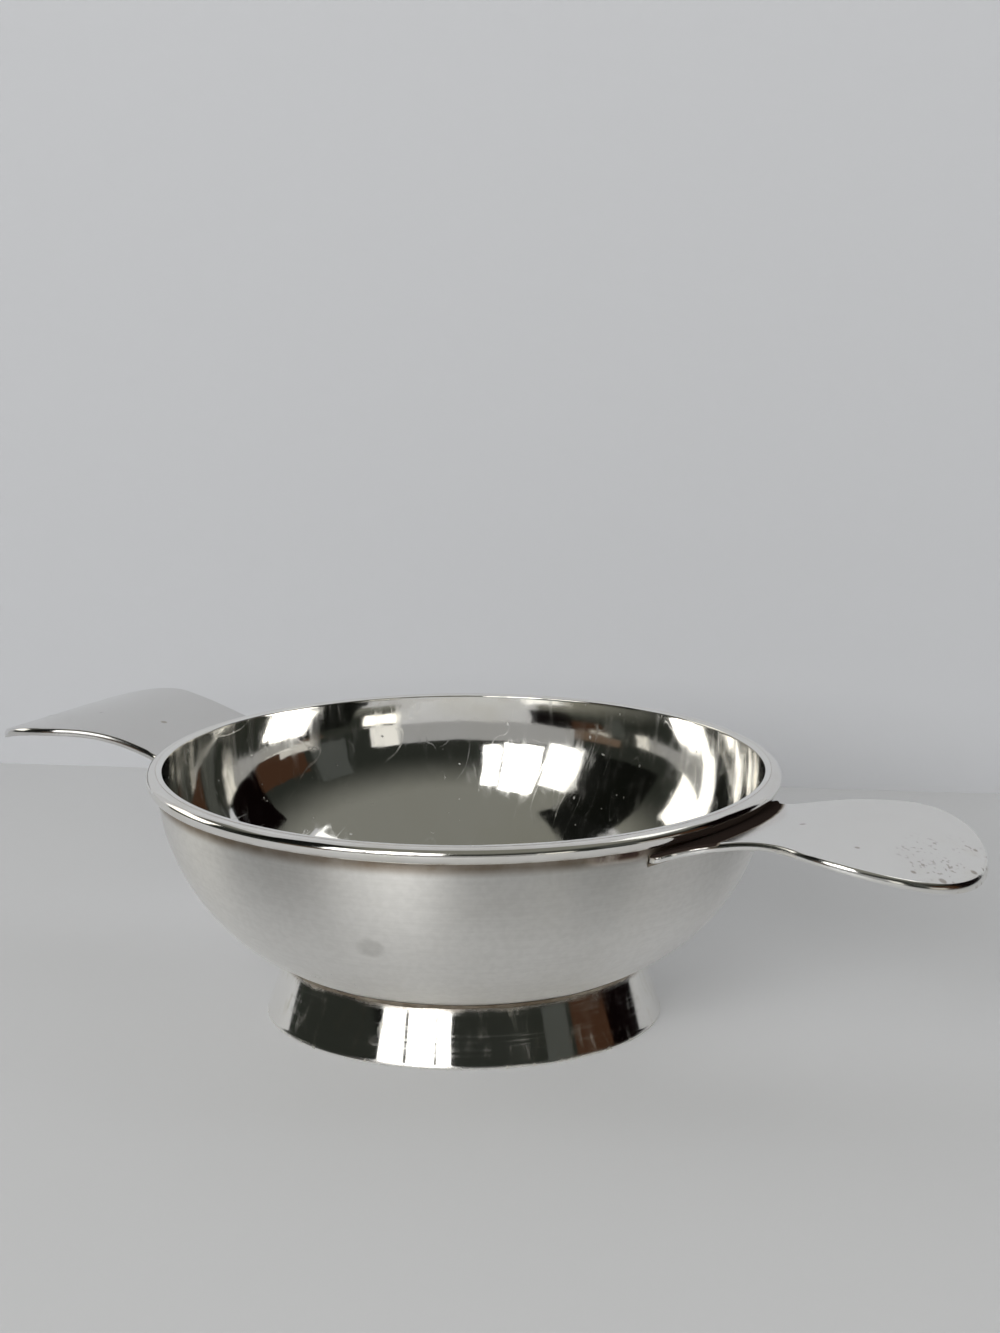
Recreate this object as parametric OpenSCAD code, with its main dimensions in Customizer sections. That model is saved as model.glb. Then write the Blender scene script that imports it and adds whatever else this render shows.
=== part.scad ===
// Quaich: a shallow two-lugged drinking bowl on a flared foot, in polished silver.
// Millimetres, +Z up. The origin is the middle of the foot's base and the lugs lie along X.

/* [Bowl] */
// Diameter over the rim wire
rim_d = 100; // [84:1:122]
// Height of the rim above the table
height = 40; // [33:0.5:50]
// Height of the lowest point of the side's curve above the table
bowl_lift = 6.5; // [4:0.5:10]
// Thickness of the sheet
wall = 1; // [0.6:0.1:1.8]
// Radius of the gently dished bottom
base_r = 180; // [150:5:260]
// How far out past the centre of the side's curve the bottom meets the side
base_join = 7; // [5:0.5:10]

/* [Rim wire] */
// Height of the half-round wire
wire_h = 2.7; // [1.8:0.1:4]
// How far the wire stands out from its flat back
wire_proj = 1.5; // [1:0.1:1.8]

/* [Foot] */
// Diameter of the foot at the table
foot_d = 63; // [52:0.5:76]
// Thickness of the foot's sheet, measured level
foot_wall = 1.2; // [0.8:0.1:2]
// Lean of the foot's side from upright, in degrees
foot_lean = 19; // [8:1:24]
// Chamfer on the two edges that meet the table
foot_edge = 0.3; // [0.1:0.05:0.4]

/* [Lugs] */
// Reach of a lug past the rim
lug_len = 38.8; // [32:0.1:47]
// Width across the paddle
lug_w = 35.5; // [30:0.5:43]
// Width across the waist
waist_w = 28; // [23.2:0.2:33.6]
// Distance of the waist past the rim
waist_gap = 3.2; // [2.6:0.1:4]
// Thickness of the plate
lug_t = 1.3; // [0.9:0.1:2]
// Radius of the paddle's rounded shoulders
shoulder_r = 14.2; // [11.5:0.1:17]
// How far the nose of the paddle stands out past the shoulders
nose = 1.8; // [1:0.1:4]
// Radius of the flare from the waist out to the horns
flare_r = 7; // [5.8:0.1:8.4]
// Turn of the flare from the waist to the tip of a horn, in degrees
flare_turn = 66; // [55:1:80]
// Radius of the rounded tip of each horn
horn_r = 1; // [0.8:0.1:1.2]
// Rise of the plate as it leaves the bowl, in degrees
lug_rise = 13.2; // [8:0.1:16]
// Straight run of the plate past the rim before it bends
lug_flat = 6; // [4:0.5:8]
// Radius of the downward bend over the rest of the lug
lug_bend_r = 48; // [40:1:60]

/* [Solder] */
// Thickness of the solder between two soldered faces
solder = 0.1; // [0.05:0.05:0.2]
// Size of the solder fillets
fillet = 0.5; // [0.3:0.1:0.8]

/* [Hidden] */
$fn = 240;
silver_colour = "#c8c9cc";
solder_colour = "#a49c8e";
// Overlap that carries a cutting outline clear through a surface
bite = 0.05;

// Rim wire, then the bowl inside it
rim_r = rim_d / 2;
wire_r = wire_h / 2;
wire_c = [rim_r - wire_r, height - wire_r];
wire_in = rim_r - wire_proj;
wire_back = sqrt(wire_r * wire_r - pow(wire_c.x - wire_in, 2));
bowl_r = wire_in - solder;
// The curved side is struck from the level of the rim, so it comes up to the wire upright
side_r = height - bowl_lift;
side_c = bowl_r - side_r;

// The bottom's curve meets the side's curve at base_join past the side's centre
join_r = side_c + base_join;
base_c = side_height(join_r) + sqrt(base_r * base_r - join_r * join_r);

// Foot: both faces lean by the same amount
foot_r = foot_d / 2;
foot_slope = tan(foot_lean);
foot_out = foot_corner(foot_r);
foot_in = foot_corner(foot_r - foot_wall);

// Plan of a lug: a nose, then on each side a shoulder, a waist, a flare and a horn's tip.
// Each arc is tangent to the next.
paddle_half = lug_w / 2;
waist_half = waist_w / 2;
paddle_end = shoulder_r + nose;
lug_tip = rim_r + lug_len;
nose_r = (pow(paddle_end, 2) + pow(paddle_half, 2) - 2 * paddle_half * shoulder_r) / (2 * nose);
nose_c = [lug_tip - nose_r, 0];
shoulder_c = [lug_tip - paddle_end, paddle_half - shoulder_r];
waist_x = rim_r + waist_gap;
waist_step = paddle_half - waist_half;
waist_r = (pow(shoulder_c.x - waist_x, 2) + pow(waist_step, 2)) / (2 * waist_step) - shoulder_r;
waist_c = [waist_x, waist_half + waist_r];
flare_c = [waist_x, waist_half + flare_r];
flare_end = 270 - flare_turn;
horn_c = flare_c + (flare_r + horn_r) * [cos(flare_end), sin(flare_end)];
nose_turn = direction(shoulder_c - nose_c);
waist_turn = direction(waist_c - shoulder_c);
// The end of a horn lies on a line from the bowl's axis, so it is square to the wall
horn_turn = direction(horn_c) + 180 - acos(horn_r / norm(horn_c));

// Side view of a lug: a straight root under the wire, then one long bend
rise_along = [cos(lug_rise), sin(lug_rise)];
rise_up = [-sin(lug_rise), cos(lug_rise)];
lug_seat = wire_c - (wire_r + solder) * rise_up;
bend_from = lug_seat + (rim_r + lug_flat - lug_seat.x) / rise_along.x * rise_along;
bend_c = bend_from - lug_bend_r * rise_up;

// Height of the curved side at radius r
function side_height(r) = height - sqrt(side_r * side_r - pow(r - side_c, 2));

// Height of the bowl's underside at radius r, on the bottom's curve or on the side's
function under_height(r) = r > join_r ? side_height(r) : base_c - sqrt(base_r * base_r - r * r);

// Angle of a plane vector
function direction(v) = atan2(v.y, v.x);

// Points along an arc about c, from angle a to angle b
function arc(c, r, a, b, steps) =
    [for (i = [0:steps]) let (turn = a + (b - a) * i / steps) c + r * [cos(turn), sin(turn)]];

// Where a foot face that starts at radius r on the table meets an arc about c: [radius, height]
function face_meets(r, c, arc_r) =
    let (a = 1 + foot_slope * foot_slope)
    let (b = foot_slope * (r - c.x) + c.y)
    let (d = pow(r - c.x, 2) + c.y * c.y - arc_r * arc_r)
    let (z = (b - sqrt(b * b - a * d)) / a)
    [r - foot_slope * z, z];

// Where that foot face meets the bowl, on the side's curve or further in on the bottom's
function foot_corner(r) =
    let (on_side = face_meets(r, [side_c, height], side_r))
    on_side.x > join_r ? on_side : face_meets(r, [0, base_c], base_r);

// Half section of the bowl's outer form, grown outward by a distance, up to a level.
// Inside the join only the bottom's curve bounds it, outside the join only the side's.
module bowl_section(grow = 0, top = height) {
    inner_r = join_r + min(grow, 0) * base_join / side_r - bite;
    intersection() {
        union() {
            translate([side_c, height]) circle(side_r + grow);
            square([inner_r, top]);
        }
        translate([0, base_c]) circle(base_r + grow);
        square([rim_d, top]);
    }
}

// A layer of a given thickness all over the bowl's outside
module solder_section(thick) {
    difference() {
        bowl_section(grow = thick);
        bowl_section();
    }
}

module foot_section() {
    lean = foot_slope * height / 2;
    difference() {
        polygon([
            [foot_r - foot_wall + foot_edge, 0],
            [foot_r - foot_edge, 0],
            [foot_r - foot_slope * foot_edge, foot_edge],
            [foot_r - lean, height / 2],
            [foot_r - foot_wall - lean, height / 2],
            [foot_r - foot_wall - foot_slope * foot_edge, foot_edge]
        ]);
        bowl_section(grow = solder);
    }
}

// Plan of a lug, one half as an outline and the other as its mirror image
module lug_plan() {
    half = concat(
        arc(nose_c, nose_r, 0, nose_turn, 12),
        arc(shoulder_c, shoulder_r, nose_turn, waist_turn, 16),
        arc(waist_c, waist_r, waist_turn + 180, 270, 12),
        arc(flare_c, flare_r, 270, flare_end, 12),
        arc(horn_c, horn_r, flare_end - 180, horn_turn, 8)
    );
    mirrored = [for (i = [len(half) - 1:-1:1]) [half[i].x, -half[i].y]];
    polygon(concat(half, [[0, 0]], mirrored));
}

// Side view of a lug's plate
module lug_side() {
    reach = 2 * lug_bend_r;
    intersection() {
        translate(bend_c) difference() {
            circle(lug_bend_r);
            circle(lug_bend_r - lug_t);
        }
        translate(bend_c) polygon([[0, 0], reach * rise_up, [reach, reach], [reach, 0]]);
    }
    root_side(lug_t);
}

// Side view of a lug's straight root, which runs on inside the bowl, whose form cuts it off
module root_side(depth) {
    root = bend_from - rim_r * rise_along;
    polygon([bend_from, root, root - depth * rise_up, bend_from - depth * rise_up]);
}

// Draws a side view out across the whole width of the bowl
module across() {
    rotate([90, 0, 0]) linear_extrude(rim_d, center = true) children();
}

module lug_plate() {
    difference() {
        intersection() {
            linear_extrude(2 * height) lug_plan();
            across() lug_side();
        }
        rotate_extrude() bowl_section(grow = solder);
    }
}

// Solder behind the root of a lug and in the corner under it
module lug_seam() {
    difference() {
        intersection() {
            linear_extrude(2 * height) lug_plan();
            across() root_side(lug_t + fillet);
            rotate_extrude() solder_section(fillet);
        }
        lug_plate();
    }
}

module bowl() {
    color(silver_colour) rotate_extrude() difference() {
        bowl_section();
        bowl_section(grow = -wall, top = 2 * height);
    }
}

// The wire's back is drawn to the wall's curve, one thickness of solder away
module rim_wire() {
    color(silver_colour) rotate_extrude() difference() {
        translate(wire_c) circle(wire_r);
        bowl_section(grow = solder);
    }
}

module rim_solder() {
    color(solder_colour) rotate_extrude() intersection() {
        solder_section(solder);
        translate([0, wire_c.y - wire_back]) square([rim_d, 2 * wire_back]);
    }
}

module foot_ring() {
    color(silver_colour) rotate_extrude() foot_section();
}

// The solder lies under the foot's top edge and spreads into a fillet on both sides
module foot_solder() {
    out_r = foot_out.x + fillet;
    in_r = foot_in.x - fillet;
    color(solder_colour) rotate_extrude() difference() {
        polygon([
            foot_in - fillet * [-foot_slope, 1],
            foot_out - fillet * [-foot_slope, 1],
            [out_r, under_height(out_r) + bite],
            [out_r, under_height(out_r) + 2 * fillet],
            [in_r, under_height(out_r) + 2 * fillet],
            [in_r, under_height(in_r) + bite]
        ]);
        bowl_section();
        foot_section();
    }
}

module right_lug() {
    color(silver_colour) lug_plate();
}

module left_lug() {
    color(silver_colour) rotate(180) lug_plate();
}

module right_lug_solder() {
    color(solder_colour) lug_seam();
}

module left_lug_solder() {
    color(solder_colour) rotate(180) lug_seam();
}

bowl();
rim_wire();
rim_solder();
foot_ring();
foot_solder();
right_lug();
right_lug_solder();
left_lug();
left_lug_solder();
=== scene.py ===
import math

import bmesh
import bpy
import numpy as np
from mathutils import Matrix, Vector


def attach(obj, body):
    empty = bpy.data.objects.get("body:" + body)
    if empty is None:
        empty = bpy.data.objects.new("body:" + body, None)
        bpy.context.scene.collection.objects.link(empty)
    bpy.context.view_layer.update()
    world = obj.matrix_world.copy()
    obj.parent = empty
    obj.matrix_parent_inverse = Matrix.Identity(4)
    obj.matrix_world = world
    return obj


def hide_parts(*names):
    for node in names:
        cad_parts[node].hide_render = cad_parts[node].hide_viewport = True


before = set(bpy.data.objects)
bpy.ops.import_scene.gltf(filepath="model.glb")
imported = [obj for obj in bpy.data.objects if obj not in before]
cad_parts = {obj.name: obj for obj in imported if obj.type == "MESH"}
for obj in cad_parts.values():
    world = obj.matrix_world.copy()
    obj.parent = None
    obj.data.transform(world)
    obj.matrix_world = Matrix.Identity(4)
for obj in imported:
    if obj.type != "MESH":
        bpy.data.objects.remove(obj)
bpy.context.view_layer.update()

# Bowl: one disc of silver sheet raised to a shallow dish whose sides come up upright to the rim.
# The inside is polished to a mirror and worn by fine scratches. The outside has gone to a satin haze,
# with one thumb smudge, a little brown tarnish under the rim darkened as painted shade, and a painted shadow
# by the right lug's horn.
rim_level = 40.0
sheet = 1.0
wall_radius = 48.4
side_arc = 33.5
side_centre = wall_radius - side_arc
bottom_arc = 180.0
join_radius = 21.9
bottom_level = 5.902
corner_ease = 7.0
lip_outer = 0.05
lip_inner = 0.28
round_steps = 224


def skin(name, grids, slots=None, outward=True):
    """Smooth mesh from grids of points in millimetres, each shaped (rows, columns, 3).

    Neighbours on a grid make quads, points that fall together at seams and poles are merged,
    and the faces are turned outwards.
    """
    quads = []
    start = 0
    for grid in grids:
        rows, columns = grid.shape[:2]
        number = start + np.arange(rows * columns).reshape(rows, columns)
        corners = (number[:-1, :-1], number[1:, :-1], number[1:, 1:], number[:-1, 1:])
        quads.append(np.stack(corners, axis=-1).reshape(-1, 4))
        start += rows * columns
    points = np.concatenate([grid.reshape(-1, 3) for grid in grids]) * 0.001
    mesh = bpy.data.meshes.new(name)
    mesh.from_pydata(points.tolist(), [], np.concatenate(quads).tolist())
    if slots is not None:
        mesh.polygons.foreach_set("material_index", np.ascontiguousarray(slots, dtype=np.int32).ravel())
    shaped = bmesh.new()
    shaped.from_mesh(mesh)
    bmesh.ops.remove_doubles(shaped, verts=shaped.verts, dist=1e-6)
    if outward:
        bmesh.ops.recalc_face_normals(shaped, faces=shaped.faces)
    shaped.to_mesh(mesh)
    shaped.free()
    mesh.polygons.foreach_set("use_smooth", np.ones(len(mesh.polygons), dtype=bool))
    piece = bpy.data.objects.new(name, mesh)
    bpy.context.collection.objects.link(piece)
    return piece


def carried_round(radius, height):
    """Grid of a half section carried once round the Z axis: (r cos a, r sin a, z) for each angle a.

    Radius and height are the section's own rows, or one set of rows for each angle.
    """
    angle = np.linspace(0.0, 2.0 * math.pi, round_steps + 1)[:, None]
    angle[-1] = 0.0
    radius, height, angle = np.broadcast_arrays(radius, height, angle)
    return np.stack((radius * np.cos(angle), radius * np.sin(angle), height), axis=-1)


def rounding(centre, radius, begin, end, steps):
    """Points on a circular arc about a centre, from one angle in degrees to another."""
    angle = np.radians(np.linspace(begin, end, steps))
    return np.column_stack((centre[0] + radius * np.cos(angle), centre[1] + radius * np.sin(angle)))


def bowl_outline(rows):
    """Half section of the bowl's outside, from the middle of the bottom to the rim, with its direction.

    The direction turns by 1 / bottom_arc for each millimetre of run, and by 1 / side_arc up the side.
    Averaging it over corner_ease on both sides rounds the corner between them. Unit steps in that
    direction add up to the line.
    """
    bottom_run = bottom_arc * math.asin(join_radius / bottom_arc)
    side_begin = math.asin((join_radius - side_centre) / side_arc)
    whole_run = bottom_run + side_arc * (math.pi / 2 - side_begin)
    fine_steps = 4000
    step = whole_run / fine_steps
    margin = int(corner_ease / step)
    run = step * np.arange(-margin, fine_steps + 1 + margin)
    turn = np.where(run < bottom_run, run / bottom_arc, side_begin + (run - bottom_run) / side_arc)
    window = np.hanning(2 * margin + 1)
    turn = np.convolve(turn, window / window.sum(), "valid")
    middle = (turn[:-1] + turn[1:]) / 2
    radius = np.concatenate(([0.0], np.cumsum(np.cos(middle))))
    height = np.concatenate(([0.0], np.cumsum(np.sin(middle))))
    radius = radius * wall_radius / radius[-1]
    height = bottom_level + height * (rim_level - bottom_level) / height[-1]
    pick = np.linspace(0, fine_steps, rows)
    every = np.arange(fine_steps + 1)
    return np.interp(pick, every, radius), np.interp(pick, every, height), np.interp(pick, every, turn)


class Field:
    """A shader value: wraps one socket, and arithmetic on it adds Math nodes to its tree."""

    def __init__(self, tree, socket):
        self.tree = tree
        self.socket = socket

    def node(self, kind, settings=None, sockets=None, output=0):
        """Adds a node of any kind: its settings first, then the values or links of its sockets."""
        added = self.tree.nodes.new("ShaderNode" + kind)
        for setting, value in (settings or {}).items():
            setattr(added, setting, value)
        for socket, value in (sockets or {}).items():
            if isinstance(value, Field):
                self.tree.links.new(value.socket, added.inputs[socket])
            else:
                added.inputs[socket].default_value = value
        return Field(self.tree, added.outputs[output])

    def math(self, operation, first, second=0.0):
        return self.node("Math", {"operation": operation}, {0: first, 1: second})

    def __add__(self, other):
        return self.math("ADD", self, other)

    __radd__ = __add__

    def __sub__(self, other):
        return self.math("SUBTRACT", self, other)

    def __rsub__(self, other):
        return self.math("SUBTRACT", other, self)

    def __mul__(self, other):
        return self.math("MULTIPLY", self, other)

    __rmul__ = __mul__

    def __abs__(self):
        return self.math("ABSOLUTE", self)

    def most(self, other):
        return self.math("MAXIMUM", self, other)

    def axis(self, index):
        """One coordinate of a vector: 0 for x, 1 for y, 2 for z."""
        return self.node("SeparateXYZ", sockets={0: self}, output=index)

    def stretched(self, scale, move=(0.0, 0.0, 0.0), turn=(0.0, 0.0, 0.0)):
        """The place moved, turned and scaled, so that a pattern runs long in one direction."""
        sockets = {"Vector": self, "Location": move, "Rotation": turn, "Scale": scale}
        return self.node("Mapping", sockets=sockets)

    def noise(self, scale, detail=2.0, rough=0.5, warp=0.0):
        """Cloudy values round 0.5 at so many patches to the metre."""
        sockets = {"Vector": self, "Scale": scale, "Detail": detail, "Roughness": rough, "Distortion": warp}
        return self.node("TexNoise", sockets=sockets)

    def ramp(self, low, high):
        """0 up to low, 1 from high on, and an eased rise between them."""
        sockets = {"Value": self, "From Min": low, "From Max": high}
        return self.node("MapRange", {"interpolation_type": "SMOOTHSTEP"}, sockets)

    def near(self, point, reach):
        """1 at a point given in millimetres, easing to 0 at reach millimetres from it."""
        spot = tuple(0.001 * value for value in point)
        gap = self.node("VectorMath", {"operation": "DISTANCE"}, {0: self, 1: spot}, output="Value")
        return gap.ramp(0.001 * reach, 0.0)

    def hairlines(self, scale, width, turn):
        """Fine, nearly straight lines, where clouds drawn out in one direction pass through 0.5.

        Broader clouds break the lines up.
        """
        drawn_out = self.stretched((1.0, 0.03, 0.3), turn=turn)
        line = abs(drawn_out.noise(scale, 1.0, 0.4) - 0.5).ramp(width, 0.0)
        return line * self.noise(scale * 0.6, 1.0).ramp(0.5, 0.62)

    def colours(self, first, second):
        """The first colour where this value is 0, the second where it is 1."""
        return self.node("Mix", {"data_type": "RGBA"}, {0: self, 6: first, 7: second}, output=2)

    def bumps(self, height):
        """A surface normal from these heights, of which 1 stands so many metres high."""
        sockets = {"Height": self, "Distance": height, "Strength": 1.0}
        return self.node("Bump", sockets=sockets, output="Normal")


def silver(name):
    """A new metal material: the material, its place as a Field and a function that feeds the shader.

    The last argument, if given, is how far a dull dark cover hides the metal: painted shade, in places with
    some tarnish.
    """
    material = bpy.data.materials.new(name)
    material.use_nodes = True
    tree = material.node_tree
    metal = tree.nodes["Principled BSDF"]
    metal.inputs["Metallic"].default_value = 1.0
    metal.inputs["Specular IOR Level"].default_value = 0.0
    place = Field(tree, tree.nodes.new("ShaderNodeTexCoord").outputs["Object"])

    def feed(colour, roughness, normal, painted_dark_cover=None):
        tree.links.new(colour.socket, metal.inputs["Base Color"])
        tree.links.new(roughness.socket, metal.inputs["Roughness"])
        tree.links.new(normal.socket, metal.inputs["Normal"])
        # The dull dark cover of painted shade takes the place of the metal where it lies.
        if painted_dark_cover is not None:
            tree.links.new((1.0 - painted_dark_cover).socket, metal.inputs["Metallic"])

    return material, place, feed


bright_silver = (0.945, 0.935, 0.91, 1.0)
yellowed_silver = (0.80, 0.765, 0.66, 1.0)
# Brown of real tarnish on the foot, and of painted shade under the rim and beside the right lug's wire.
brown_tarnish_and_shade = (0.30, 0.225, 0.15, 1.0)
# Black of the painted shade and reflection beside the right lug's wire.
black_painted_shade = (0.018, 0.013, 0.011, 1.0)
grey_smudge = (0.56, 0.55, 0.52, 1.0)


def satin_outside():
    """Soft haze all over, finer rubbed lines level round the bowl, a smudge, and tarnish under the wire
    darkened as painted shade, with a painted shadow by the right lug's front horn.
    """
    thumb_at = (11.0, -41.9, 22.2)
    lug_corner = (42.6, -22.9, 37.0)
    material, place, feed = silver("bowl_outside_satin")
    metal = material.node_tree.nodes["Principled BSDF"]
    metal.inputs["Anisotropic"].default_value = 0.95
    metal.inputs["Anisotropic Rotation"].default_value = 0.25
    cloud = place.noise(38.0, 3.0, 0.55)
    rubbed = place.stretched((45.0, 45.0, 2600.0)).noise(1.0, 2.0, 0.6)
    grain = place.noise(900.0, 2.0)
    edge = place.noise(260.0, 3.0, 0.6)
    level = place.axis(2)
    thumb = (place.near(thumb_at, 4.5) * 1.3 - edge).ramp(0.0, 0.5)
    # Under the wire: brown tarnish, darkened further as painted shade where the wire overhangs the wall.
    tarnish_and_shade_under_wire = level.ramp(0.0349, 0.0367) * (edge * 0.7 + 0.6)
    # By the right lug's front horn: a near-black painted shadow in the corner under the wire, with some
    # tarnish, which also dulls the metal.
    shadow_and_tarnish_by_lug = place.near(lug_corner, 7.5).ramp(0.0, 0.7) * level.ramp(0.0354, 0.0366) * edge.ramp(0.2, 0.5)
    tarnish = (tarnish_and_shade_under_wire * 0.8).most(shadow_and_tarnish_by_lug)
    scratch = place.hairlines(160.0, 0.006, (0.4, 0.0, 0.5))
    colour = cloud.ramp(0.45, 0.8).colours((0.925, 0.915, 0.89, 1.0), (0.88, 0.865, 0.83, 1.0))
    dulled = grain.ramp(0.35, 0.65) * 0.1 + rubbed.ramp(0.35, 0.65) * 0.06 + thumb * 0.4
    colour = dulled.colours(colour, grey_smudge)
    colour = tarnish.colours(colour, brown_tarnish_and_shade)
    # The painted shadow by the lug's horn, near black.
    colour = shadow_and_tarnish_by_lug.colours(colour, (0.04, 0.026, 0.022, 1.0))
    roughness = 0.40 - level.ramp(0.034, 0.016) * 0.18 + cloud * 0.08
    roughness = roughness + rubbed * 0.06 - scratch * 0.02 + tarnish * 0.1
    feed(colour, roughness, (rubbed * 0.2 + grain * 0.15 + cloud * 2.0).bumps(1.0e-5), shadow_and_tarnish_by_lug)
    return material


def mirror_inside():
    """Bright mirror with slow ripples left by the hammer, fine scratches, specks and a thin film."""
    material, place, feed = silver("bowl_inside_mirror")
    film = place.noise(30.0, 3.0, 0.6)
    ripple = place.noise(75.0, 1.0) + place.noise(240.0, 1.0) * 0.22
    wiped = place.stretched((520.0, 520.0, 45.0)).noise(1.0, 3.0, 0.6)
    scratch = place.hairlines(220.0, 0.006, (0.0, 0.0, 0.7))
    scratch = scratch.most(place.hairlines(260.0, 0.006, (0.0, 0.0, -0.6)))
    speck = place.noise(900.0, 1.0).ramp(0.74, 0.79)
    colour = film.ramp(0.42, 0.8).colours(bright_silver, (0.87, 0.85, 0.78, 1.0))
    roughness = 0.045 + film.ramp(0.4, 0.8) * 0.05 + wiped.ramp(0.45, 0.75) * 0.09
    roughness = roughness + scratch * 0.16 + speck * 0.3
    feed(colour, roughness, (ripple + wiped * 0.03).bumps(9.0e-5))
    return material


out_radius, out_height, out_turn = bowl_outline(132)
in_radius = out_radius - sheet * np.sin(out_turn)
in_height = out_height + sheet * np.cos(out_turn)
below = out_height < rim_level - 0.5
lip = np.concatenate((
    rounding((wall_radius - lip_outer, rim_level - lip_outer), lip_outer, 0.0, 90.0, 5),
    rounding((wall_radius - sheet + lip_inner, rim_level - lip_inner), lip_inner, 90.0, 180.0, 8),
))
out_rows = int(below.sum())
bowl_radius = np.concatenate((out_radius[below], lip[:, 0], in_radius[below][::-1]))
bowl_height = np.concatenate((out_height[below], lip[:, 1], in_height[below][::-1]))
bowl_radius[[0, -1]] = 0.0
inner_rows = np.arange(len(bowl_radius) - 1) >= out_rows + 3
bowl = skin("raised_bowl", [carried_round(bowl_radius, bowl_height)], np.tile(inner_rows, (round_steps, 1)))
bowl.data.materials.append(satin_outside())
bowl.data.materials.append(mirror_inside())
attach(bowl, "root")
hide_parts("bowl")

# Rim wire: half-round silver wire bent to a hoop and soldered round the outside of the rim.
# Its back lies along the wall, and its face is burnished bright by handling.
wire_radius = 1.35
wire_middle = (48.65, 38.65)
solder_gap = 0.1
back_corner = 0.03
back_rows = 6
polish_loss = 0.005
lower_turn = 5.0
upper_turn = 2.0


def wire_section(steps):
    """Outline of the wire's section: the round face from under its back to over it, then the flat back."""
    back = wall_radius + solder_gap
    half = math.degrees(math.acos((back - wire_middle[0]) / wire_radius))
    face = rounding(wire_middle, wire_radius - polish_loss, lower_turn - half, half - upper_turn, steps)
    back_line = np.linspace(face[-1, 1] - back_corner, face[0, 1] + back_corner, back_rows)
    flat = np.column_stack((np.full(back_rows, back), back_line))
    return np.concatenate((face, flat, face[:1]))


def burnished_wire():
    """Mirror with a faint yellow film and rubbed lines that run along the wire."""
    material, place, feed = silver("rim_wire_burnished")
    film = place.noise(55.0, 3.0, 0.6)
    along = place.stretched((160.0, 160.0, 4200.0)).noise(1.0, 2.0, 0.6)
    nick = place.noise(420.0, 1.0).ramp(0.7, 0.76)
    low = place.axis(2).ramp(0.0382, 0.0374)
    # Brown patches on the wire's lower face, strongest at its bottom edge.
    lower_face_brown = low * place.noise(240.0, 3.0, 0.6).ramp(0.35, 0.7)
    colour = film.ramp(0.45, 0.75).colours((0.90, 0.885, 0.855, 1.0), (0.81, 0.79, 0.73, 1.0))
    colour = (lower_face_brown * 0.7).colours(colour, brown_tarnish_and_shade)
    roughness = 0.06 + film * 0.04 + along * 0.03 + nick * 0.15 + lower_face_brown * 0.2
    feed(colour, roughness, (film + along * 0.08 - nick * 0.2).bumps(2.0e-5))
    return material


wire_line = wire_section(30)
wire = skin("rim_wire_hoop", [carried_round(wire_line[:, 0], wire_line[:, 1])])
wire.data.materials.append(burnished_wire())
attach(wire, "root")
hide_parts("rim_wire")

# Rim solder: the silver solder that fills the joint between the wall and the wire.
# It is burnished in with the rim on top, and shows as a dark line of dirt and tarnish under the wire.
solder_top = 39.975
solder_foot = 37.18
fillet_top = 37.42
fillet_size = 0.42
fillet_edge = 0.03
burnished_level = 0.0392


def tarnished_solder(name, burnished_above=None):
    """Dull solder: grey-brown, darker where dirt sits in it, and bright above a level in metres, if any."""
    material, place, feed = silver(name)
    cloud = place.noise(170.0, 3.0, 0.6)
    grain = place.noise(1100.0, 2.0)
    colour = cloud.ramp(0.3, 0.72).colours((0.22, 0.175, 0.125, 1.0), (0.47, 0.42, 0.345, 1.0))
    roughness = 0.36 + cloud * 0.16 + grain * 0.1
    if burnished_above is not None:
        rubbed_up = place.axis(2).ramp(burnished_above, burnished_above + 0.0004)
        colour = rubbed_up.colours(colour, (0.90, 0.885, 0.85, 1.0))
        roughness = roughness - rubbed_up * 0.36
    feed(colour, roughness, (cloud + grain * 0.3).bumps(1.5e-5))
    return material


def wall_at(height, grow=0.0):
    """Radius of the bowl's outer side at a height, or of a surface grown outwards from it."""
    return side_centre + np.sqrt((side_arc + grow) ** 2 - (rim_level - height) ** 2)


joint_height = np.linspace(solder_foot, solder_top, 12)
fillet_height = np.linspace(fillet_top, solder_foot, 6)
fillet_bulge = np.linspace(fillet_size, fillet_edge, 6)
joint_radius = np.concatenate((
    wall_at(joint_height),
    [wall_at(solder_top, solder_gap)],
    wall_at(fillet_height) + fillet_bulge,
))
joint_level = np.concatenate((joint_height, [solder_top], fillet_height))
joint_radius = np.append(joint_radius, joint_radius[0])
joint_level = np.append(joint_level, joint_level[0])
joint = skin("rim_solder_line", [carried_round(joint_radius, joint_level)])
joint.data.materials.append(tarnished_solder("rim_solder_dark", burnished_level))
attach(joint, "root")
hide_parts("rim_solder")

# Foot ring: a strip of silver bent to a flared band, its ends soldered, filed flat where it stands.
# It is mirror bright outside, with brown tarnish left along its upper edge where cloths don't reach.
foot_radius = 31.5
foot_sheet = 1.2
foot_lean = math.tan(math.radians(19.0))
foot_round = 0.28
round_top = 2.2 * foot_round
round_in = 0.09


def leaning_corner(start, arc):
    """Where a foot face that leaves the table at radius start meets the bowl's side: radius and height."""
    square = 1.0 + foot_lean**2
    middle = foot_lean * (start - side_centre) + rim_level
    rest = (start - side_centre) ** 2 + rim_level**2 - arc**2
    height = (middle - math.sqrt(middle**2 - square * rest)) / square
    return start - foot_lean * height, height


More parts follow.
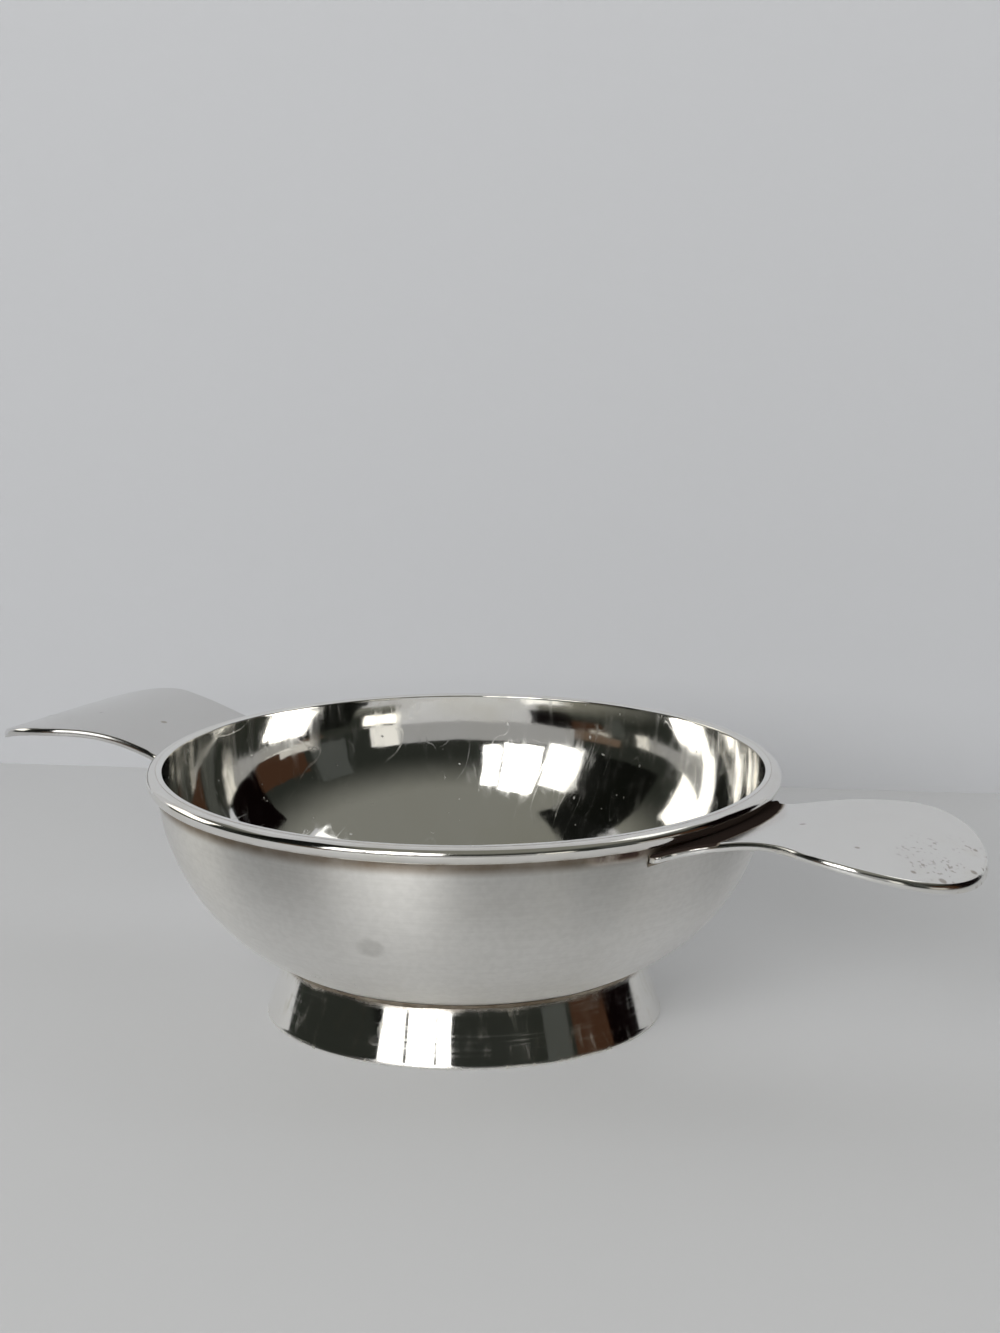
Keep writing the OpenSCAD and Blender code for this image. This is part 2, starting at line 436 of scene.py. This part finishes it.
def foot_outline():
    """Closed section of the band: up outside, along the bowl, down inside and round the base."""
    outer_top = leaning_corner(foot_radius, side_arc + solder_gap)
    inner_top = leaning_corner(foot_radius - foot_sheet, side_arc + solder_gap)
    rise = np.linspace(round_top, outer_top[1], 26)
    outer = np.column_stack((foot_radius - foot_lean * rise, rise))
    cap = np.linspace(outer_top, inner_top, 8)[1:-1]
    cap[:, 1] = rim_level - np.sqrt((side_arc + solder_gap) ** 2 - (cap[:, 0] - side_centre) ** 2)
    fall = np.linspace(inner_top[1], round_top, 16)
    inner = np.column_stack((foot_radius - foot_sheet - foot_lean * fall, fall))
    inner_edge = rounding((foot_radius - foot_sheet + foot_round, foot_round), foot_round, 185.0, 270.0, 7)
    outer_edge = rounding((foot_radius - foot_round - round_in, foot_round), foot_round, 270.0, 378.0, 8)
    return np.concatenate((outer, cap, inner, inner_edge, outer_edge, outer[:1]))


def mirror_foot():
    """Mirror with fine upright and level scratches, upright yellow streaks partly of polish and partly
    painted reflection, tarnish under the seam and a worn line at the base.
    """
    stain_at = (27.5, -6.0, 8.4)
    material, place, feed = silver("foot_ring_mirror")
    level = place.axis(2)
    film = place.noise(45.0, 3.0, 0.6)
    ripple = place.noise(95.0, 1.0)
    wiped = place.stretched((60.0, 60.0, 2400.0)).noise(1.0, 3.0, 0.6)
    upright = place.stretched((700.0, 700.0, 60.0)).noise(1.0, 2.0, 0.6)
    edge = place.noise(330.0, 3.0, 0.65)
    scratch = place.hairlines(260.0, 0.007, (1.5, 0.0, 0.2))
    seam = (level.ramp(0.0070, 0.0092) * 0.8 + edge * 0.5 - 0.55).ramp(0.0, 0.6)
    stain = place.near(stain_at, 5.0) * edge.ramp(0.3, 0.7)
    tarnish = seam.most(stain * 0.5)
    worn = level.ramp(0.0009, 0.0003)
    colour = film.ramp(0.45, 0.8).colours(bright_silver, (0.86, 0.84, 0.78, 1.0))
    # Upright yellow streaks: partly polishing lines, partly painted reflection of upright window frames.
    colour = (upright.ramp(0.52, 0.72) * 0.5).colours(colour, yellowed_silver)
    colour = (tarnish * 0.7).colours(colour, brown_tarnish_and_shade)
    roughness = 0.04 + film * 0.03 + wiped.ramp(0.45, 0.75) * 0.06 + upright.ramp(0.5, 0.75) * 0.1
    roughness = roughness + scratch * 0.05 + tarnish * 0.28 + worn * 0.2
    feed(colour, roughness, (ripple + wiped * 0.01 + upright * 0.03).bumps(4.0e-5))
    return material


foot_line = foot_outline()
foot = skin("foot_ring_band", [carried_round(foot_line[:, 0], foot_line[:, 1])])
foot.data.materials.append(mirror_foot())
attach(foot, "root")
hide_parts("foot_ring")

# Foot solder: the seam that holds the foot to the bowl, run in from inside and left unpolished.
# It stands as a small uneven fillet in the corner on both sides and has tarnished brown.
seam_size = 0.5


def seam_outline():
    """Closed section of the seam for each angle round the foot, whose two fillets swell and shrink.

    Each fillet is a hollow curve from the bowl to the foot's face, and its size is seam_size times a sum
    of sines.
    """
    angle = np.linspace(0.0, 2.0 * math.pi, round_steps + 1)[:, None]
    swell = 0.78 + 0.10 * np.sin(9 * angle + 1.0)
    swell = swell + 0.07 * np.sin(23 * angle) + 0.05 * np.sin(41 * angle + 2.0)
    outer_top = leaning_corner(foot_radius, side_arc + solder_gap)
    inner_top = leaning_corner(foot_radius - foot_sheet, side_arc + solder_gap)
    along = np.linspace(0.0, 1.0, 7)
    hollow = along - 0.55 * along * (1.0 - along)
    reach = seam_size * swell
    out_r = outer_top[0] + reach * (1.0 - hollow) + foot_lean * reach * hollow
    bowl_out = rim_level - np.sqrt(side_arc**2 - (outer_top[0] + reach - side_centre) ** 2)
    out_z = bowl_out + (outer_top[1] - reach - bowl_out) * along
    in_r = inner_top[0] - reach * (1.0 - hollow) + foot_lean * reach * hollow
    bowl_in = rim_level - np.sqrt(side_arc**2 - (inner_top[0] - reach - side_centre) ** 2)
    in_z = bowl_in + (inner_top[1] - reach - bowl_in) * along
    under_r = np.broadcast_to(np.linspace(outer_top[0], inner_top[0], 5), (round_steps + 1, 5))
    under_z = rim_level - np.sqrt((side_arc + solder_gap) ** 2 - (under_r - side_centre) ** 2)
    over = np.linspace(0.0, 1.0, 9)
    over_r = inner_top[0] - reach + (outer_top[0] - inner_top[0] + 2 * reach) * over
    over_z = rim_level - np.sqrt(side_arc**2 - (over_r - side_centre) ** 2)
    radius = np.concatenate((out_r, under_r, in_r[:, ::-1], over_r[:, 1:]), axis=1)
    height = np.concatenate((out_z, under_z, in_z[:, ::-1], over_z[:, 1:]), axis=1)
    return radius, height


seam = skin("foot_solder_seam", [carried_round(*seam_outline())])
seam.data.materials.append(tarnished_solder("foot_solder_brown"))
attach(seam, "root")
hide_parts("foot_solder")

# Lugs: two flat handles sawn from silver plate, waisted, with a broad paddle and two short horns.
# Each rises from the wall under the wire and droops at its end, and is filed round at the edges and rubbed
# smooth. The right one has pitted near its tip and has painted shade and reflection beside the wire. The
# left one is painted darker all over as shade.
lug_tip = 88.8
lug_plate = 1.3
edge_in = 0.5
edge_drop = 1.0
edge_under = 0.25
paddle_half = 17.75
waist_half = 14.0
waist_at = 53.2
shoulder_radius = 14.2
nose_out = 1.8
flare_radius = 7.0
flare_turn = math.radians(66.0)
horn_radius = 1.0
lug_rise = math.radians(13.2)
straight_end = 56.0
bend_radius = 48.0
outline_points = 150
seat = (
    wire_middle[0] + (wire_radius + solder_gap) * math.sin(lug_rise),
    wire_middle[1] - (wire_radius + solder_gap) * math.cos(lug_rise),
)
bend_level = seat[1] + (straight_end - seat[0]) * math.tan(lug_rise)
bend_centre = (
    straight_end + bend_radius * math.sin(lug_rise),
    bend_level - bend_radius * math.cos(lug_rise),
)


def plate_level(x, down):
    """Height of the plate at a distance x out from the axis, a given depth below its top face.

    A straight line rises from the seat under the wire, then an arc about bend_centre takes over.
    """
    line = seat[1] + (x - seat[0]) * math.tan(lug_rise) - down / math.cos(lug_rise)
    past = np.clip(x - bend_centre[0], -bend_radius + lug_plate, bend_radius - lug_plate - 0.01)
    bend = bend_centre[1] + np.sqrt((bend_radius - down) ** 2 - past**2)
    return np.where(x < straight_end + down * math.sin(lug_rise), line, bend)


def half_outline(count):
    """Half the lug's edge in plan, from the bowl to the tip, with the direction out of the plate.

    A straight end on a line from the bowl's axis, then five arcs, each tangent to the next: the horn's tip,
    the flare, the waist, the shoulder and the nose.
    """
    paddle_end = shoulder_radius + nose_out
    nose_radius = (paddle_end**2 + paddle_half**2 - 2 * paddle_half * shoulder_radius) / (2 * nose_out)
    nose = np.array((lug_tip - nose_radius, 0.0))
    shoulder = np.array((lug_tip - paddle_end, paddle_half - shoulder_radius))
    step = paddle_half - waist_half
    waist_radius = ((shoulder[0] - waist_at) ** 2 + step**2) / (2 * step) - shoulder_radius
    waist = np.array((waist_at, waist_half + waist_radius))
    flare = np.array((waist_at, waist_half + flare_radius))
    side_on = 1.5 * math.pi
    flare_end = side_on - flare_turn
    horn = flare + (flare_radius + horn_radius) * np.array((math.cos(flare_end), math.sin(flare_end)))
    horn_end = math.atan2(horn[1], horn[0]) + math.pi - math.acos(horn_radius / math.hypot(*horn))
    waist_turn = math.atan2(*(waist - shoulder)[::-1])
    nose_turn = math.atan2(*(shoulder - nose)[::-1])
    arcs = (
        (horn, horn_radius, horn_end, flare_end - math.pi, 1.0),
        (flare, flare_radius, flare_end, side_on, -1.0),
        (waist, waist_radius, side_on, waist_turn + math.pi, -1.0),
        (shoulder, shoulder_radius, waist_turn, nose_turn, 1.0),
        (nose, nose_radius, nose_turn, 0.0, 1.0),
    )
    lengths = np.array([abs(end - begin) * radius for _, radius, begin, end, _ in arcs])
    shares = np.maximum(8, np.round(count * lengths / lengths.sum())).astype(int)
    edge = []
    out = []
    for (centre, radius, begin, end, side), share in zip(arcs, shares):
        angle = np.linspace(begin, end, share + 1)[:-1, None]
        spoke = np.concatenate((np.cos(angle), np.sin(angle)), axis=1)
        edge.append(centre + radius * spoke)
        out.append(side * spoke)
    past_wall = 0.2
    outwards = edge[0][0] / math.hypot(*edge[0][0])
    stub = np.linspace(wall_radius - past_wall, math.hypot(*edge[0][0]), 4)[:-1, None] * outwards
    edge = np.concatenate([stub, *edge, [[lug_tip, 0.0]]])
    out = np.concatenate([np.tile((-outwards[1], outwards[0]), (3, 1)), *out, [[1.0, 0.0]]])
    return edge, out


def clear_of_wall(plan, down):
    """Plan points with their heights on a layer of the plate, pushed out to the solder where inside it."""
    for _ in range(4):
        level = plate_level(plan[..., 0], down)
        wall = wall_at(level, solder_gap)
        plan = plan * np.maximum(1.0, wall / np.hypot(plan[..., 0], plan[..., 1]))[..., None]
    return np.concatenate((plan, plate_level(plan[..., 0], down)[..., None]), axis=-1)


def drawn_together(line):
    """Grid that closes a loop of points: the loop, and its middle repeated once for each point."""
    return np.stack((line, np.broadcast_to(line.mean(axis=0), line.shape)))


def lug_grids():
    """Grids of a lug: its faces with the rounded edge between them, its root, and the ends of its horns.

    Each row of the first grid runs from the root or the middle line to the edge over the top face, round
    the edge on a quarter ellipse that takes most of its depth, and back under the plate from a smaller one.
    One half is made, and the other is its mirror image.
    """
    root_share = 0.4
    root_in = 1.0
    nose_gap = 12.0
    inset = 0.75
    face_steps = 15
    border_steps = 4
    edge, out = half_outline(outline_points)
    share = np.linspace(0.0, 1.0, len(edge))
    root_rows = int(root_share * len(edge))
    turn_in = share[root_rows]
    at_root = np.clip(share / turn_in, 0.0, 1.0)
    horn_angle = math.atan2(edge[0, 1], edge[0, 0]) - root_in / wall_radius
    root_angle = horn_angle * (1.0 - at_root)
    root = (wall_radius + solder_gap) * np.column_stack((np.cos(root_angle), np.sin(root_angle)))
    along = np.clip((share - turn_in) / (1.0 - turn_in), 0.0, 1.0)
    inner = np.column_stack((root[:, 0] + along * (lug_tip - nose_gap - wall_radius), root[:, 1]))
    field = np.linspace(0.0, 1.0, face_steps + 1)[:-1, None]
    face = inner[:, None, :] + (edge - inset * out - inner)[:, None, :] * field
    corner = np.linspace(0.0, math.pi / 2, 9)
    plans = []
    depths = []
    for across_edge, down_edge in ((edge_in, edge_drop), (edge_under, edge_under)):
        border = np.linspace(inset, across_edge, border_steps + 1)[:-1]
        from_edge = np.concatenate((border, across_edge * (1.0 - np.sin(corner))))
        ring = edge[:, None, :] - from_edge[None, :, None] * out[:, None, :]
        plans.append(np.concatenate((face, ring), axis=1))
        level_part = np.zeros(face_steps + border_steps)
        depths.append(np.concatenate((level_part, down_edge * (1.0 - np.cos(corner)))))
    plan = np.concatenate((plans[0], plans[1][:, ::-1]), axis=1)
    down = np.concatenate((depths[0], lug_plate - depths[1][::-1]))
    shell = clear_of_wall(plan, down[None, :])
    wall_down = np.linspace(0.0, lug_plate, 5)[None, :]
    base = np.broadcast_to(root[: root_rows + 1, None, :], (root_rows + 1, 5, 2))
    back = clear_of_wall(base, wall_down)
    horn_end = drawn_together(np.concatenate((shell[0], back[0, ::-1])))
    half = [shell, back, horn_end]
    return half + [grid[::-1] * np.array((1.0, -1.0, 1.0)) for grid in half]


def rubbed_lug(name, bright, spots, worn=False):
    """Soft polish with faint rubbed lines along the lug and a few dark spots.

    Bright is how much light the bare metal gives back, and a low value paints a whole lug darker as painted
    shade. Each spot is a point and its size in millimetres.
    A worn lug also has pits round its tip, and painted shade and reflection beside the wire, brown, then
    black, on the top face only, where the squared distance from a point near the bowl's axis is small.
    """
    tip_at = (86.5, 0.5, 36.0)
    ring_at = (0.010, -0.006)
    ring_outer = 0.0456
    ring_inner = 0.0430
    material, place, feed = silver(name)
    cloud = place.noise(50.0, 3.0, 0.55)
    grain = place.stretched((60.0, 2200.0, 60.0)).noise(1.0, 2.0, 0.6)
    scratch = place.hairlines(170.0, 0.006, (0.0, 0.0, 1.2))
    mark = place.near(*spots[0])
    for point, size in spots[1:]:
        mark = mark.most(place.near(point, size))
    mark = mark.ramp(0.1, 0.7) * 0.6
    clean = (bright, bright * 0.99, bright * 0.965, 1.0)
    filmed = (bright * 0.95, bright * 0.935, bright * 0.905, 1.0)
    colour = cloud.ramp(0.45, 0.8).colours(clean, filmed)
    if worn:
        by_tip = place.near(tip_at, 15.0)
        bloom = place.noise(190.0, 3.0, 0.6).ramp(0.48, 0.75) * by_tip.ramp(0.1, 0.6)
        pit = place.noise(1300.0, 1.0).ramp(0.60, 0.67) * by_tip.ramp(0.05, 0.5)
        pit = pit * place.noise(260.0, 2.0).ramp(0.42, 0.56)
        colour = (bloom * 0.35).colours(colour, yellowed_silver)
        mark = mark.most(pit * 0.5)
    colour = mark.colours(colour, (0.27, 0.215, 0.155, 1.0))
    roughness = 0.10 + cloud * 0.04 + grain * 0.04 - scratch * 0.03 + mark * 0.2
    painted_dark_cover = None
    if worn:
        # Painted shade and reflection beside the wire: the top face is painted brown, then black, and the
        # metal dulled, in a band round the wire.
        x, y, z = (place.axis(index) for index in range(3))
        depth = 0.001 * seat[1] + (x - 0.001 * seat[0]) * math.tan(lug_rise) - z
        from_x = x - ring_at[0]
        from_y = y - ring_at[1]
        painted_shade_by_wire = (from_x * from_x + from_y * from_y).ramp(ring_outer**2, ring_inner**2)
        painted_shade_by_wire = painted_shade_by_wire * depth.ramp(0.0006, 0.0003)
        uneven = painted_shade_by_wire * 1.3 - place.noise(300.0, 3.0, 0.6) * 0.4
        colour = (uneven.ramp(0.0, 0.45) * 0.85).colours(colour, brown_tarnish_and_shade)
        painted_dark_cover = uneven.ramp(0.15, 0.7)
        colour = painted_dark_cover.colours(colour, black_painted_shade)
        roughness = roughness + painted_dark_cover * 0.15
    feed(colour, roughness, (cloud * 1.2 + grain * 0.06 - mark * 0.5).bumps(1.2e-5), painted_dark_cover)
    return material


half_turn = np.array((-1.0, -1.0, 1.0))
right_spots = (
    ((61.7, -2.6, 39.9), 0.8),
    ((84.6, 8.3, 36.6), 0.7),
    ((83.0, -9.0, 37.2), 0.8),
    ((86.5, -6.5, 35.9), 1.1),
    ((87.6, 1.6, 35.4), 0.9),
    ((74.0, -9.0, 39.6), 0.7),
)
left_spots = (((-58.6, -1.6, 39.4), 0.9), ((-70.0, -4.0, 40.0), 0.5))
lug_shape = lug_grids()
right_lug = skin("right_lug_plate", lug_shape)
right_lug.data.materials.append(rubbed_lug("right_lug_rubbed", 0.90, right_spots, worn=True))
left_lug = skin("left_lug_plate", [grid * half_turn for grid in lug_shape])
# The left lug is the same silver as the right, painted darker all over, 0.70 against 0.90, as painted shade.
left_lug.data.materials.append(rubbed_lug("left_lug_rubbed_painted_shade", 0.70, left_spots))
for plate, node in ((right_lug, "right_lug"), (left_lug, "left_lug")):
    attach(plate, "root")
    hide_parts(node)

# Lug solder: a thin layer behind each root, with a small hollow fillet in the corner under the plate.
# It is only seen from below and along the top of the root, and it has tarnished like the other seams.
root_fillet = 0.5
root_sections = 61
first_level = 36.0


def root_seam():
    """Grid of the seam: a closed section in the corner of bowl and plate, carried along the root.

    The section goes down behind the plate, out along its underside and back to the wall in a hollow curve.
    """
    horn_end = half_outline(outline_points)[0][0]
    half_width = math.atan2(horn_end[1], horn_end[0])
    angle = np.linspace(-half_width, half_width, root_sections)[:, None]
    hollow = np.linspace(0.0, 1.0, 7)
    down = np.concatenate(([0.0, 0.0, lug_plate], np.full(7, lug_plate) + root_fillet * hollow, [0.7, 0.0]))
    out = np.concatenate((
        [0.0, solder_gap, solder_gap],
        solder_gap + root_fillet * (1.0 - hollow) ** 2 - solder_gap * hollow,
        [0.0, 0.0],
    ))
    level = np.broadcast_to(first_level, (root_sections, len(down)))
    for _ in range(5):
        radius = wall_at(level) + out[None, :]
        level = plate_level(radius * np.cos(angle), 0.0) - down[None, :] / math.cos(lug_rise)
    return np.stack((radius * np.cos(angle), radius * np.sin(angle), level), axis=-1)


def closed_ends(grid):
    """The grid, and its first and last sections drawn together to a point so that the seam is closed."""
    return [grid, drawn_together(grid[0]), drawn_together(grid[-1])]


root_shape = closed_ends(root_seam())
right_seam = skin("right_lug_seam", root_shape)
right_seam.data.materials.append(tarnished_solder("right_lug_solder_brown"))
left_seam = skin("left_lug_seam", [grid * half_turn for grid in root_shape])
left_seam.data.materials.append(tarnished_solder("left_lug_solder_brown"))
for strip, node in ((right_seam, "right_lug_solder"), (left_seam, "left_lug_solder")):
    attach(strip, "root")
    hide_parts(node)

# Studio: a pale table with a pale board close behind, and dark cards and soft lights round the camera's side
# for the silver to mirror. The key and the fill light only the table and the board, and the key throws the
# soft shadow behind the bowl and to its right. None of it belongs to the object.
view_turn = math.radians(33.4)
lamp_reach = 1.6
towards = np.array((math.sin(view_turn), -math.cos(view_turn), 0.0))
across = np.array((math.cos(view_turn), math.sin(view_turn), 0.0))
upward = np.array((0.0, 0.0, 1.0))


def panel(name, corner, first, second, paint):
    """A flat four-cornered sheet: corner + a first + b second for a and b from 0 to 1, in millimetres."""
    share = np.linspace(0.0, 1.0, 2)
    grid = corner + share[:, None, None] * first + share[None, :, None] * second
    flat_sheet = skin(name, [grid], outward=False)
    flat_sheet.data.materials.append(paint)
    return flat_sheet


def plain_paint(name, colour, roughness):
    """A matt paint for the studio, of one colour."""
    material = bpy.data.materials.new(name)
    material.use_nodes = True
    paint = material.node_tree.nodes["Principled BSDF"]
    paint.inputs["Base Color"].default_value = colour
    paint.inputs["Roughness"].default_value = roughness
    paint.inputs["Specular IOR Level"].default_value = 0.25
    return material


def seen_from_front(material):
    """Lets a view from behind the board look through it: a see-through shader on its back faces."""
    tree = material.node_tree
    painted = tree.nodes["Principled BSDF"]
    clear = tree.nodes.new("ShaderNodeBsdfTransparent")
    side = tree.nodes.new("ShaderNodeNewGeometry")
    either = tree.nodes.new("ShaderNodeMixShader")
    tree.links.new(side.outputs["Backfacing"], either.inputs[0])
    tree.links.new(painted.outputs[0], either.inputs[1])
    tree.links.new(clear.outputs[0], either.inputs[2])
    tree.links.new(either.outputs[0], tree.nodes["Material Output"].inputs["Surface"])
    return material


def glow(name, colour, high_colour=None, low=0.0, high=1.0):
    """A card's paint that only gives off a set brightness, for the silver to mirror.

    A second colour takes over between two heights in metres, if it is given.
    """
    material = bpy.data.materials.new(name)
    material.use_nodes = True
    tree = material.node_tree
    light = tree.nodes.new("ShaderNodeEmission")
    light.inputs["Color"].default_value = colour
    if high_colour is not None:
        place = Field(tree, tree.nodes.new("ShaderNodeTexCoord").outputs["Object"])
        graded = place.axis(2).ramp(low, high).colours(colour, high_colour)
        tree.links.new(graded.socket, light.inputs["Color"])
    tree.links.new(light.outputs[0], tree.nodes["Material Output"].inputs["Surface"])
    return material


def studio_card(name, reach, bearings, elevations, paint):
    """An upright curved card that glows, hidden from the camera: part of a cylinder round the object.

    It runs between two bearings from the camera's direction and two elevations, in degrees, at a distance.
    """
    bearing = np.radians(np.linspace(*bearings, 33))[:, None, None]
    line = reach * (np.cos(bearing) * towards + np.sin(bearing) * across)
    height = reach * np.tan(np.radians(elevations))
    card = skin(name, [line + height[None, :, None] * upward], outward=False)
    card.data.materials.append(paint)
    card.visible_camera = False


def soft_light(name, bearings, elevations, brightness):
    """A soft rectangular light between two bearings from the camera's direction and two elevations."""
    left, right = bearings
    middle = math.radians((left + right) / 2)
    low, high = lamp_reach * np.tan(np.radians(elevations))
    lamp = bpy.data.lights.new(name, "AREA")
    lamp.shape = "RECTANGLE"
    lamp.size = 2 * lamp_reach * math.tan(math.radians(right - left) / 2)
    lamp.size_y = high - low
    lamp.energy = brightness * math.pi * lamp.size * lamp.size_y
    lamp.color = (1.0, 0.99, 0.965)
    light = bpy.data.objects.new(name, lamp)
    spot = lamp_reach * (math.cos(middle) * towards + math.sin(middle) * across) + (low + high) / 2 * upward
    light.location = spot
    light.rotation_euler = Vector((-spot[0], -spot[1], 0.0)).to_track_quat("-Z", "Y").to_euler()
    light.visible_camera = False
    bpy.context.collection.objects.link(light)
    return light


table_radius = 1300.0
table = skin("table", [carried_round(np.array((table_radius, 0.0)), np.zeros(2))], outward=False)
table.data.materials.append(plain_paint("table_white", (0.485, 0.491, 0.503, 1.0), 0.6))
board_turn = view_turn - math.radians(7.6)
board_along = np.array((math.cos(board_turn), math.sin(board_turn), 0.0))
board_gap = 146.0
board_left = 180.0
board_width = 362.0
board_height = 330.0
board_foot = -board_gap * towards - board_left * board_along
board_paint = seen_from_front(plain_paint("board_pale", (0.396, 0.404, 0.424, 1.0), 0.8))
panel("board", board_foot, board_width * board_along, board_height * upward, board_paint)

dark_green = (0.02, 0.022, 0.018, 1.0)
olive_grey = (0.19, 0.19, 0.165, 1.0)
graded_green = glow("surround_green", dark_green, olive_grey, 0.75, 1.85)
studio_card("surround", 1900.0, (-126.0, 117.0), (-0.6, 44.0), graded_green)
plain_cards = (
    ("grey_strip", 1750.0, (-46.0, 26.0), (1.0, 15.0), (0.30, 0.30, 0.295, 1.0)),
    ("brown_strip", 1760.0, (-66.0, -46.0), (1.0, 9.0), (0.12, 0.085, 0.06, 1.0)),
    ("small_light", 1700.0, (26.0, 38.0), (1.0, 15.5), (0.8, 0.78, 0.72, 1.0)),
    ("dim_card", 1790.0, (49.0, 65.0), (8.0, 27.0), (0.06, 0.064, 0.058, 1.0)),
    ("far_light", 1700.0, (62.0, 80.0), (1.0, 9.5), (0.5, 0.48, 0.43, 1.0)),
    ("brown_card", 1780.0, (68.0, 94.0), (-0.1, 20.0), (0.045, 0.022, 0.012, 1.0)),
    ("black_card", 1780.0, (94.0, 126.0), (-0.1, 34.0), (0.002, 0.001, 0.001, 1.0)),
    ("high_light", 1700.0, (80.0, 124.0), (46.0, 60.0), (1.2, 1.2, 1.16, 1.0)),
    ("side_light", 1700.0, (-130.0, -101.0), (9.0, 28.0), (1.7, 1.66, 1.53, 1.0)),
    ("left_shade", 1720.0, (-88.0, -52.0), (15.0, 46.5), (0.004, 0.0045, 0.0035, 1.0)),
)
for card_name, card_reach, card_bearings, card_elevations, card_colour in plain_cards:
    card_paint = glow(card_name + "_glow", card_colour)
    studio_card(card_name, card_reach, card_bearings, card_elevations, card_paint)
overhead_cards = (
    ("overhead_card", 1850.0, (100.0, 2200.0), (-2000.0, 2000.0), olive_grey),
    ("overhead_shade", 1840.0, (0.0, 1050.0), (-1750.0, -1000.0), (0.006, 0.0065, 0.0055, 1.0)),
)
for card_name, card_level, (near, far), (left, right), card_colour in overhead_cards:
    card_corner = card_level * upward + near * towards + left * across
    card_paint = glow(card_name + "_glow", card_colour)
    overhead = panel(card_name, card_corner, (far - near) * towards, (right - left) * across, card_paint)
    overhead.visible_camera = False

soft_light("tall_light_left", (-51.0, -36.0), (14.5, 38.0), 2.2)
soft_light("tall_light_middle", (-34.0, -17.5), (16.4, 43.5), 3.8)
soft_light("tall_light_right", (-16.0, -8.0), (18.0, 41.0), 3.0)
key = soft_light("soft_key", (-40.0, 0.0), (12.0, 30.0), 9.5)
key.visible_glossy = False
fill = soft_light("soft_fill", (-25.0, 25.0), (38.0, 60.0), 6.0)
fill.visible_glossy = False
fill.data.use_shadow = False

world = bpy.data.worlds.new("pale_surround")
world.use_nodes = True
world.node_tree.nodes["Background"].inputs["Color"].default_value = (0.5, 0.503, 0.51, 1.0)
bpy.context.scene.world = world
bpy.context.scene.view_settings.view_transform = "Standard"

# Camera: a long lens at the photograph's angle, set by its distance, its height and where it points.
frame_width = 1000
lens_pixels = 3500
camera_reach = 0.5352
camera_height = 0.1763
camera_yaw = -0.0107
camera_pitch = 0.2216
camera = bpy.data.cameras.new("photograph_view")
camera.sensor_fit = "HORIZONTAL"
camera.sensor_width = 36.0
camera.lens = camera.sensor_width * lens_pixels / frame_width
viewer = bpy.data.objects.new("photograph_view", camera)
bearing_right = view_turn + camera_yaw
to_right = Vector((math.cos(bearing_right), math.sin(bearing_right), 0.0))
level_ahead = Vector((-math.sin(bearing_right), math.cos(bearing_right), 0.0))
ahead = level_ahead * math.cos(camera_pitch) - Vector((0.0, 0.0, 1.0)) * math.sin(camera_pitch)
to_top = to_right.cross(ahead)
turned = Matrix((to_right, to_top, -ahead)).transposed().to_4x4()
viewer.matrix_world = Matrix.Translation(Vector(camera_reach * towards + camera_height * upward)) @ turned
bpy.context.collection.objects.link(viewer)
bpy.context.scene.camera = viewer
